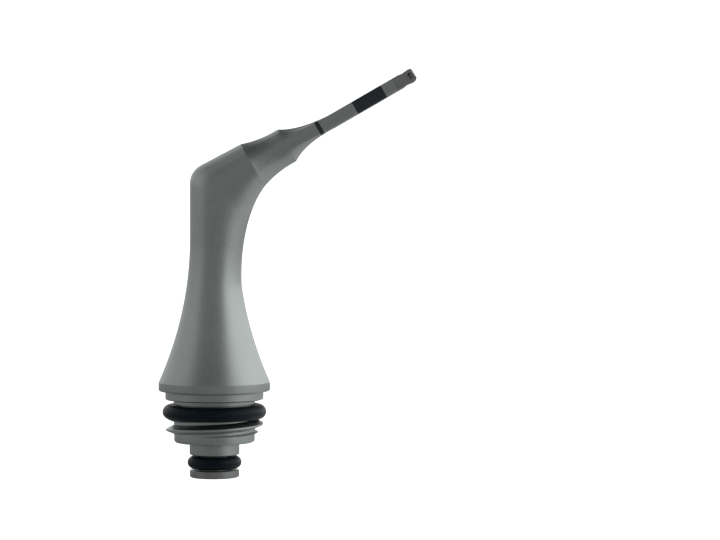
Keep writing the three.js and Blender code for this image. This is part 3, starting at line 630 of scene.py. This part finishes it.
def outlet_head(material):
    """The end piece that the powder and the water leave by: two windows, a slot between and a side port."""
    head = copy_of(full_blank, "spray_head")
    combine(head, "INTERSECT", slice_of_arm(HEAD_START + FACE_GAP, TIP_REACH + 1))
    combine(head, "INTERSECT", prism("side_outline", head_side_outline(), -4, 4, "Y"))
    combine(head, "INTERSECT", prism("plan_outline", head_plan_outline(), -4, 4, "X"))
    combine(head, "DIFFERENCE", window(POWDER_Y, POWDER_WINDOW_WIDTH, POWDER_WINDOW_END))
    combine(head, "DIFFERENCE", window(WATER_Y, WATER_WINDOW_WIDTH, WATER_WINDOW_END))
    slot_floor = BLADE_DROP + SLOT_DEPTH - HEAD_WAIST
    slot_from, slot_to = SLOT_SIDES
    combine(head, "DIFFERENCE", block("slot", (-2, slot_from, SLOT_START), (slot_floor, slot_to, SLOT_END)))
    port = rod("port", SIDE_PORT_RADIUS, -1, 1)
    port.rotation_euler = (math.pi / 2, 0, 0)
    port.location = (BLADE_DROP, POWDER_Y - 1, SIDE_PORT_REACH)
    only(port)
    bpy.ops.object.transform_apply(location=True, rotation=True, scale=True)
    combine(head, "DIFFERENCE", port)
    drill_for_tubes(head, HEAD_START - 1, TUBE_END + FACE_GAP)
    powder = rod("powder_drill", POWDER_BORE, HEAD_START, WINDOW_START + 0.1, BLADE_DROP, POWDER_Y)
    water = rod("water_drill", WATER_BORE, HEAD_START, WINDOW_START + 0.1, BLADE_DROP, WATER_Y)
    combine(head, "DIFFERENCE", powder, water)
    finish_piece(head, "outlet_head", material, smooth=20, on_arm=True)


# ---------------------------------------------------------------- coupling


def lower_edge(radius, bottom, edge):
    """A rounded corner from the side of a cylinder to its lower face."""
    return arc((radius - edge, bottom + edge), edge, 0, -90, 6)


def thread_ridge():
    """The thread's ridge, wound up three turns and cut to the envelope that leads it in."""
    turns = 3
    middle = THREAD_LEFT_CREST - THREAD_PITCH * turns / 2
    low = middle - THREAD_CREST_FLAT / 2
    high = middle + THREAD_CREST_FLAT / 2
    tip = THREAD_CREST_EDGE
    foot = THREAD_ROOT - 0.1
    profile = [(foot, low - THREAD_LOWER_FLANK)]
    profile += arc((THREAD_CREST - tip, low + tip), tip, -65, 0, 3)
    profile += arc((THREAD_CREST - tip, high - tip), tip, 0, 60, 3)
    profile.append((foot, high + THREAD_UPPER_FLANK))
    points = [(radius, 0, height) for radius, height in profile]
    ridge = begin("thread_ridge", points[0])
    draw(points + points[:1])
    bpy.ops.mesh.select_all(action="SELECT")
    bpy.ops.mesh.remove_doubles(threshold=1e-4)
    bpy.ops.object.mode_set(mode="OBJECT")
    # Its facets don't line up with the core's, so that the two can be joined.
    steps = ROUND - 8
    modify(ridge, "SCREW", angle=2 * math.pi, screw_offset=THREAD_PITCH, iterations=turns, steps=steps,
           render_steps=steps)
    bpy.ops.object.mode_set(mode="EDIT")
    bpy.ops.mesh.select_all(action="SELECT")
    bpy.ops.mesh.remove_doubles(threshold=1e-4)
    bpy.ops.mesh.select_all(action="DESELECT")
    bpy.ops.mesh.select_non_manifold()
    bpy.ops.mesh.fill_holes(sides=0)
    close_up(ridge)
    bottom = THREAD_BOTTOM + 0.01
    top = GROOVE_BOTTOM - 0.01
    outer = THREAD_CREST + 0.02
    lead = THREAD_BOTTOM + THREAD_LEAD
    inner = foot - 0.1
    profile = [(inner, bottom), (PLAIN_RADIUS, bottom), (outer, lead), (outer, top), (inner, top)]
    limit = turned("envelope", profile, steps)
    return combine(ridge, "INTERSECT", limit)


def coupling(material):
    """The turned core: plug, step, ring groove, screw thread, plain band and spigot."""
    plug = PLUG_BORE - FACE_GAP
    groove = LARGE_INNER - FACE_GAP
    plug_groove = node_box("plug_o_ring")[1].y - PLUG_RING_CORD - FACE_GAP
    groove_low, groove_high = PLUG_RING_GROOVE
    bore = SHANK_RADIUS + FACE_GAP
    bore_top = SPIGOT_BOTTOM + NIPPLE_SHANK + FACE_GAP
    seat = POWDER_TUBE + FACE_GAP
    ferrule = POWDER_TUBE + FERRULE_WALL + FACE_GAP
    ferrule_bottom = CORE_TOP - FERRULE_SEAT - FACE_GAP
    profile = [
        (bore, bore_top), (seat, bore_top), (seat, ferrule_bottom), (ferrule, ferrule_bottom),
        (ferrule, CORE_TOP), (plug - PLUG_EDGE, CORE_TOP), (plug, CORE_TOP - PLUG_EDGE),
        (plug, groove_high), (plug_groove, groove_high), (plug_groove, groove_low), (plug, groove_low),
        (plug, -FACE_GAP), (STEP_RADIUS - EDGE_BREAK, -FACE_GAP), (STEP_RADIUS, -FACE_GAP - EDGE_BREAK),
        (STEP_RADIUS, STEP_BOTTOM + STEP_EDGE), (STEP_RADIUS - STEP_EDGE, STEP_BOTTOM),
        (LAND_RADIUS, STEP_BOTTOM), (LAND_RADIUS, GROOVE_TOP), (groove, GROOVE_TOP),
        (groove, GROOVE_BOTTOM), (THREAD_ROOT, GROOVE_BOTTOM), (THREAD_ROOT, THREAD_BOTTOM),
        (PLAIN_RADIUS, THREAD_BOTTOM - 0.02),
    ]
    profile += lower_edge(PLAIN_RADIUS, PLAIN_BOTTOM, PLAIN_EDGE)
    profile += [(SPIGOT_RADIUS + 0.08, PLAIN_BOTTOM), (SPIGOT_RADIUS, PLAIN_BOTTOM - 0.08)]
    profile += lower_edge(SPIGOT_RADIUS, SPIGOT_BOTTOM, SPIGOT_EDGE)
    profile.append((bore, SPIGOT_BOTTOM))
    core = turned("threaded_coupling", profile)
    combine(core, "UNION", thread_ridge())
    top = CORE_TOP + 1
    well = WATER_TUBE + FERRULE_WALL + FACE_GAP
    drills = [
        rod("well", well, ferrule_bottom, top, y=WATER_PORT_Y),
        rod("seat", WATER_TUBE + FACE_GAP, CORE_TOP - WATER_TUBE_SEAT, ferrule_bottom + 0.1, y=WATER_PORT_Y),
        rod("port", WATER_PORT_RADIUS, PLAIN_BOTTOM - 1, CORE_TOP - WATER_TUBE_SEAT + 0.1, y=WATER_PORT_Y),
    ]
    for drill in drills:
        combine(core, "DIFFERENCE", drill)
    finish_piece(core, "coupling_core", material, smooth=30)


def nipple(material):
    """The stainless tube that brings the powder, with the collar that holds the small ring on."""
    bore = NIPPLE_BORE
    seat = POWDER_TUBE + FACE_GAP
    top = nipple_high.z
    seat_bottom = top - POWDER_TUBE_SEAT
    bottom = nipple_low.z
    profile = [
        (bore + EDGE_BREAK, bottom), (bore, bottom + EDGE_BREAK), (bore, seat_bottom - NIPPLE_CONE),
        (POWDER_BORE, seat_bottom),
        (seat, seat_bottom), (seat, top), (SHANK_RADIUS, top), (SHANK_RADIUS, COLLAR_TOP),
        (END_COLLAR_RADIUS - 0.04, COLLAR_TOP), (END_COLLAR_RADIUS, COLLAR_TOP - 0.04),
    ]
    profile += lower_edge(END_COLLAR_RADIUS, bottom, END_COLLAR_EDGE)
    finish_piece(turned("powder_inlet", profile), "powder_nipple", material)


def o_ring(name, cad_node, material):
    """A moulded ring of round cord, with the fine flash line that the mould leaves round its outside."""
    low, high = node_box(cad_node)
    radius = (high.z - low.z) / 2
    centre = (high.y - radius, (high.z + low.z) / 2)
    flash_height = 0.012
    profile = arc(centre, radius - flash_height, 3, 357, CORD)
    profile.append((centre[0] + radius, centre[1]))
    finish_piece(turned(name, profile), cad_node, material, smooth=60)


# ---------------------------------------------------------------- materials


def linear(code):
    """An sRGB hex colour as linear RGBA."""
    channels = [int(code[i:i + 2], 16) / 255 for i in (0, 2, 4)]
    return [c / 12.92 if c <= 0.04045 else ((c + 0.055) / 1.055) ** 2.4 for c in channels] + [1.0]


def per_mm(size):
    """The scale of a pattern with features this many millimetres across, as the object is in metres."""
    return 1 / (size * MM)


def add(nodes, kind, settings=None, stops=(), **inputs):
    """Adds a node. Settings are its properties, and an input is a value, or a socket to link from.
    A colour ramp's stops are (place, sRGB hex or grey value)."""
    node = nodes.new(kind)
    for key, value in (settings or {}).items():
        setattr(node, key, value)
    for i, (place, colour) in enumerate(stops):
        elements = node.color_ramp.elements
        if i == len(elements):
            elements.new(1.0)
        elements[i].position = place
        elements[i].color = linear(colour) if isinstance(colour, str) else [colour, colour, colour, 1]
    for key, value in inputs.items():
        socket = node.inputs[int(key[1:]) if key[1:].isdigit() else key.replace("_", " ")]
        if isinstance(value, bpy.types.NodeSocket):
            nodes.id_data.links.new(value, socket)
        else:
            socket.default_value = value
    return node


def new_material(name):
    material = bpy.data.materials.new(name)
    material.use_nodes = True
    material.node_tree.nodes.clear()
    return material, material.node_tree.nodes


def blasted_steel():
    """Stainless steel blasted with glass beads: an even satin grey with a fine frosted grain, softly mottled,
    and rubbed a little brighter and smoother along its edges."""
    material, nodes = new_material("bead_blasted_stainless")
    place = add(nodes, "ShaderNodeTexCoord").outputs["Object"]
    # The beads' dimples are about 0.05 mm across and are drawn three times that, so that they show.
    dimples = add(nodes, "ShaderNodeTexNoise", Vector=place, Scale=per_mm(0.16), Detail=2.0, Roughness=0.6)
    dimple = dimples.outputs["Fac"]
    mottle = add(nodes, "ShaderNodeTexNoise", Vector=place, Scale=per_mm(2.5), Detail=3.0, Roughness=0.55)
    grain = add(nodes, "ShaderNodeValToRGB", stops=[(0.3, "9CA29F"), (0.7, "A6ACA9")], Fac=dimple)
    cloud = add(nodes, "ShaderNodeValToRGB", stops=[(0.3, 0.94), (0.7, 1.0)], Fac=mottle.outputs["Fac"])
    mixed = add(nodes, "ShaderNodeMix", {"data_type": "RGBA", "blend_type": "MULTIPLY"},
                i0=1.0, i6=grain.outputs["Color"], i7=cloud.outputs["Color"])
    # Handling has polished a rim about 0.06 mm wide along each edge.
    rounded = add(nodes, "ShaderNodeBevel", {"samples": 4}, Radius=0.06 * MM)
    true_normal = add(nodes, "ShaderNodeNewGeometry").outputs["Normal"]
    bend = add(nodes, "ShaderNodeVectorMath", {"operation": "DOT_PRODUCT"},
               i0=rounded.outputs["Normal"], i1=true_normal)
    wear = add(nodes, "ShaderNodeMapRange", Value=bend.outputs["Value"], From_Min=0.995, From_Max=0.9,
               To_Min=0.0, To_Max=0.6)
    colour = add(nodes, "ShaderNodeMix", {"data_type": "RGBA"}, i0=wear.outputs[0], i6=mixed.outputs[2],
                 i7=linear("BCC0BE"))
    satin = add(nodes, "ShaderNodeMapRange", Value=dimple, From_Min=0.25, From_Max=0.75,
                To_Min=0.33, To_Max=0.43)
    rough = add(nodes, "ShaderNodeMath", {"operation": "MULTIPLY_ADD"}, i0=wear.outputs[0], i1=-0.12,
                i2=satin.outputs[0])
    bump = add(nodes, "ShaderNodeBump", Height=dimple, Strength=0.04, Distance=0.02 * MM)
    shader = add(nodes, "ShaderNodeBsdfPrincipled", Base_Color=colour.outputs[2], Metallic=1.0,
                 Roughness=rough.outputs[0], Normal=bump.outputs["Normal"])
    add(nodes, "ShaderNodeOutputMaterial", Surface=shader.outputs[0])
    return material


def turned_steel():
    """Stainless steel as it leaves the lathe and the spark eroder: greyer, with faint tool rings."""
    material, nodes = new_material("turned_stainless")
    place = add(nodes, "ShaderNodeTexCoord").outputs["Object"]
    # Tool feed is about 0.08 mm a turn. The rings are drawn three times as far apart, so that they show.
    rings = add(nodes, "ShaderNodeTexWave", {"wave_type": "BANDS", "bands_direction": "Z"}, Vector=place,
                Scale=per_mm(0.8), Distortion=1.5, Detail=2.0)
    stain = add(nodes, "ShaderNodeTexNoise", Vector=place, Scale=per_mm(1.2), Detail=3.0)
    colour = add(nodes, "ShaderNodeValToRGB", stops=[(0.3, "888B89"), (0.7, "989B99")],
                 Fac=stain.outputs["Fac"])
    rough = add(nodes, "ShaderNodeMapRange", Value=rings.outputs["Fac"], To_Min=0.28, To_Max=0.38)
    bump = add(nodes, "ShaderNodeBump", Height=rings.outputs["Fac"], Strength=0.1, Distance=0.01 * MM)
    shader = add(nodes, "ShaderNodeBsdfPrincipled", Base_Color=colour.outputs["Color"], Metallic=1.0,
                 Roughness=rough.outputs[0], Normal=bump.outputs["Normal"])
    add(nodes, "ShaderNodeOutputMaterial", Surface=shader.outputs[0])
    return material


def drawn_tube():
    """Drawn stainless capillary tube: smooth and bright, with faint draw lines."""
    material, nodes = new_material("drawn_stainless_tube")
    place = add(nodes, "ShaderNodeTexCoord").outputs["Object"]
    lines = add(nodes, "ShaderNodeTexNoise", Vector=place, Scale=per_mm(0.3), Detail=3.0).outputs["Fac"]
    colour = add(nodes, "ShaderNodeValToRGB", stops=[(0.3, "A9ABAB"), (0.7, "BCBEBE")], Fac=lines)
    rough = add(nodes, "ShaderNodeMapRange", Value=lines, From_Min=0.3, From_Max=0.7, To_Min=0.2, To_Max=0.3)
    shader = add(nodes, "ShaderNodeBsdfPrincipled", Base_Color=colour.outputs["Color"], Metallic=1.0,
                 Roughness=rough.outputs[0])
    add(nodes, "ShaderNodeOutputMaterial", Surface=shader.outputs[0])
    return material


def nitrile_rubber():
    """Moulded nitrile rubber, lightly greased: blue-black, with a soft shine and a faint dusty bloom."""
    material, nodes = new_material("moulded_nitrile_rubber")
    place = add(nodes, "ShaderNodeTexCoord").outputs["Object"]
    bloom = add(nodes, "ShaderNodeTexNoise", Vector=place, Scale=per_mm(0.9), Detail=4.0, Roughness=0.6)
    grain = add(nodes, "ShaderNodeTexNoise", Vector=place, Scale=per_mm(0.12), Detail=2.0)
    colour = add(nodes, "ShaderNodeValToRGB", stops=[(0.3, "07141B"), (0.75, "0D1C24")],
                 Fac=bloom.outputs["Fac"])
    rough = add(nodes, "ShaderNodeMapRange", Value=bloom.outputs["Fac"], From_Min=0.3, From_Max=0.7,
                To_Min=0.34, To_Max=0.46)
    bump = add(nodes, "ShaderNodeBump", Height=grain.outputs["Fac"], Strength=0.1, Distance=0.02 * MM)
    shader = add(nodes, "ShaderNodeBsdfPrincipled", Base_Color=colour.outputs["Color"], Metallic=0.0,
                 Roughness=rough.outputs[0], IOR=1.5, Specular_IOR_Level=0.12,
                 Normal=bump.outputs["Normal"])
    add(nodes, "ShaderNodeOutputMaterial", Surface=shader.outputs[0])
    return material


def mark_enamel():
    """Dark enamel filled into the recess and stoned flush: nearly black, matt, with tiny pits."""
    material, nodes = new_material("filled_black_enamel")
    place = add(nodes, "ShaderNodeTexCoord").outputs["Object"]
    specks = add(nodes, "ShaderNodeTexNoise", Vector=place, Scale=per_mm(0.14), Detail=3.0, Roughness=0.65)
    speck = specks.outputs["Fac"]
    colour = add(nodes, "ShaderNodeValToRGB", stops=[(0.3, "141C24"), (0.75, "222C36")], Fac=speck)
    rough = add(nodes, "ShaderNodeMapRange", Value=speck, From_Min=0.3, From_Max=0.7,
                To_Min=0.42, To_Max=0.58)
    bump = add(nodes, "ShaderNodeBump", Height=speck, Strength=0.15, Distance=0.02 * MM)
    shader = add(nodes, "ShaderNodeBsdfPrincipled", Base_Color=colour.outputs["Color"], Metallic=0.0,
                 Roughness=rough.outputs[0], IOR=1.5, Normal=bump.outputs["Normal"])
    add(nodes, "ShaderNodeOutputMaterial", Surface=shader.outputs[0])
    return material


def bush_polymer():
    """Machined PEEK: warm grey-beige, slightly waxy."""
    material, nodes = new_material("machined_peek")
    place = add(nodes, "ShaderNodeTexCoord").outputs["Object"]
    flow = add(nodes, "ShaderNodeTexNoise", Vector=place, Scale=per_mm(0.6), Detail=3.0).outputs["Fac"]
    colour = add(nodes, "ShaderNodeValToRGB", stops=[(0.3, "B9AE96"), (0.7, "CBBFA6")], Fac=flow)
    rough = add(nodes, "ShaderNodeMapRange", Value=flow, From_Min=0.3, From_Max=0.7, To_Min=0.4, To_Max=0.5)
    shader = add(nodes, "ShaderNodeBsdfPrincipled", Base_Color=colour.outputs["Color"], Metallic=0.0,
                 Roughness=rough.outputs[0], IOR=1.65)
    add(nodes, "ShaderNodeOutputMaterial", Surface=shader.outputs[0])
    return material


def light_table():
    """The white acrylic sweep of a photographer's light table, lit from below."""
    material, nodes = new_material("light_table")
    shader = add(nodes, "ShaderNodeBsdfPrincipled", Base_Color=linear("F4F5F5"), Roughness=0.6,
                 Emission_Color=linear("FFFFFF"), Emission_Strength=0.95)
    add(nodes, "ShaderNodeOutputMaterial", Surface=shader.outputs[0])
    return material


# ---------------------------------------------------------------- the set


def tent_panels(nodes, turn, level):
    """The panels that stand round the object, each cropped at its own height."""
    walls = add(nodes, "ShaderNodeValToRGB", Fac=turn, stops=[
        (0.0, 0.28), (0.09, 0.28), (0.125, 0.04), (0.345, 0.04), (0.385, 0.7), (0.43, 0.88), (0.75, 0.88),
        (0.8, 0.6), (0.85, 0.42), (0.93, 0.28)])
    # The panels' upper edges: high on the right, low straight behind, and highest on the left.
    edge = add(nodes, "ShaderNodeValToRGB", Fac=turn, stops=[
        (0.0, 0.93), (0.3, 0.93), (0.4, 0.88), (0.58, 0.88), (0.66, 0.6), (0.79, 0.6), (0.82, 0.93)])
    panels = add(nodes, "ShaderNodeValToRGB", Fac=level, stops=[
        (0.44, 0.0), (0.5, 0.5), (0.56, 1.0)])
    above = add(nodes, "ShaderNodeMath", {"operation": "SUBTRACT"}, i0=level, i1=edge.outputs["Color"])
    below_edge = add(nodes, "ShaderNodeMapRange", Value=above.outputs[0], From_Min=0.025, From_Max=-0.025)
    cropped = add(nodes, "ShaderNodeMix", {"data_type": "RGBA", "blend_type": "MULTIPLY"},
                  i0=1.0, i6=panels.outputs["Color"], i7=below_edge.outputs[0])
    lit = add(nodes, "ShaderNodeMix", {"data_type": "RGBA", "blend_type": "MULTIPLY"},
              i0=1.0, i6=walls.outputs["Color"], i7=cropped.outputs[2])
    return lit.outputs[2]


def table_glow(nodes, turn, level):
    """The light that comes up from the table, on the right and behind."""
    far_side = add(nodes, "ShaderNodeValToRGB", Fac=turn, stops=[
        (0.34, 0.0), (0.42, 1.0), (0.62, 1.0), (0.78, 0.0)])
    table = add(nodes, "ShaderNodeValToRGB", Fac=level, stops=[
        (0.0, 0.15), (0.25, 0.32), (0.38, 0.36), (0.43, 0.0)])
    glow = add(nodes, "ShaderNodeMix", {"data_type": "RGBA", "blend_type": "MULTIPLY"},
               i0=1.0, i6=far_side.outputs["Color"], i7=table.outputs["Color"])
    return glow.outputs[2]


def studio_light():
    """A tent round the object: a large bright panel on the right and behind, a paler one on the left,
    and a dim front, top and bottom."""
    world = bpy.data.worlds.new("diffuser_tent")
    bpy.context.scene.world = world
    world.use_nodes = True
    nodes = world.node_tree.nodes
    nodes.clear()
    direction = add(nodes, "ShaderNodeTexCoord").outputs["Generated"]
    # The radial gradient runs once round from the left: a quarter is the front, a half the right, and so on.
    gradient = add(nodes, "ShaderNodeTexGradient", {"gradient_type": "RADIAL"}, Vector=direction)
    turn = gradient.outputs["Fac"]
    upward = add(nodes, "ShaderNodeSeparateXYZ", Vector=direction).outputs["Z"]
    level = add(nodes, "ShaderNodeMapRange", Value=upward, From_Min=-1.0, From_Max=1.0).outputs[0]
    panes = add(nodes, "ShaderNodeMix", {"data_type": "RGBA", "blend_type": "ADD"},
                i0=1.0, i6=tent_panels(nodes, turn, level), i7=table_glow(nodes, turn, level))
    fill = add(nodes, "ShaderNodeValToRGB", Fac=level, stops=[(0.0, 0.2), (0.72, 0.2), (0.86, 0.09)])
    light = add(nodes, "ShaderNodeMix", {"data_type": "RGBA", "blend_type": "ADD"},
                i0=1.0, i6=panes.outputs[2], i7=fill.outputs["Color"])
    seen = add(nodes, "ShaderNodeLightPath").outputs["Is Camera Ray"]
    shown = add(nodes, "ShaderNodeMix", {"data_type": "RGBA"},
                i0=seen, i6=light.outputs[2], i7=linear("FFFFFF"))
    background = add(nodes, "ShaderNodeBackground", Color=shown.outputs[2], Strength=1.35)
    add(nodes, "ShaderNodeOutputWorld", Surface=background.outputs[0])


def floor():
    """A wide pale floor, a little under the object, that the object's own reflections leave out."""
    bpy.ops.object.select_all(action="DESELECT")
    low = cad_bounds[0]
    bpy.ops.mesh.primitive_plane_add(size=1.6, location=(0.013, 0, low.z - 7 * MM))
    sheet = bpy.context.object
    sheet.name = "floor"
    bpy.ops.object.transform_apply(location=True, rotation=True, scale=True)
    sheet.data.materials.append(light_table())
    sheet.visible_glossy = False
    sheet.visible_diffuse = False
    sheet.visible_shadow = False


def camera():
    """A long lens looking along +Y and slightly down, with the object left of the middle of the frame."""
    data = bpy.data.cameras.new("camera")
    data.sensor_width = 36
    data.lens = 123
    data.clip_end = 5
    distance = 219.6
    across = 13.02
    eye_height = 17.0
    aim_height = 10.8
    eye = bpy.data.objects.new("camera", data)
    eye.location = (across * MM, -distance * MM, eye_height * MM)
    eye.rotation_euler = (math.pi / 2 - math.atan((eye_height - aim_height) / distance), 0, 0)
    bpy.context.scene.collection.objects.link(eye)
    bpy.context.scene.camera = eye


# ---------------------------------------------------------------- assembly

blasted = blasted_steel()
lathe_bright = turned_steel()
tube = drawn_tube()
rubber = nitrile_rubber()
enamel = mark_enamel()
peek = bush_polymer()

camera()
studio_light()
floor()
bpy.context.scene.view_settings.view_transform = "Standard"

bell_and_elbow(blasted)
full_blank = blade_blank("full_blank")
inlay_blank = blade_blank("inlay_blank", INLAY)
recess_blank = blade_blank("recess_blank", INLAY + JOINT_GAP)
neck_and_blade(blasted)
coupling(blasted)
nipple(lathe_bright)
outlet_head(lathe_bright)
o_ring("large_seal_ring", "large_o_ring", rubber)
o_ring("small_seal_ring", "small_o_ring", rubber)
o_ring("plug_seal_ring", "plug_o_ring", rubber)
depth_mark("wide_band", "wide_depth_mark", *WIDE_MARK, enamel)
depth_mark("thin_band", "thin_depth_mark", *THIN_MARK, enamel)
for blank in (full_blank, inlay_blank, recess_blank):
    bpy.data.objects.remove(blank)

carried_over = {
    "powder_tube": tube,
    "water_tube": tube,
    "powder_ferrule": lathe_bright,
    "water_ferrule": lathe_bright,
    "nose_seal": rubber,
    "tube_guide": peek,
}
for node_name, finish in carried_over.items():
    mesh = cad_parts[node_name].data
    mesh.materials.clear()
    mesh.materials.append(finish)
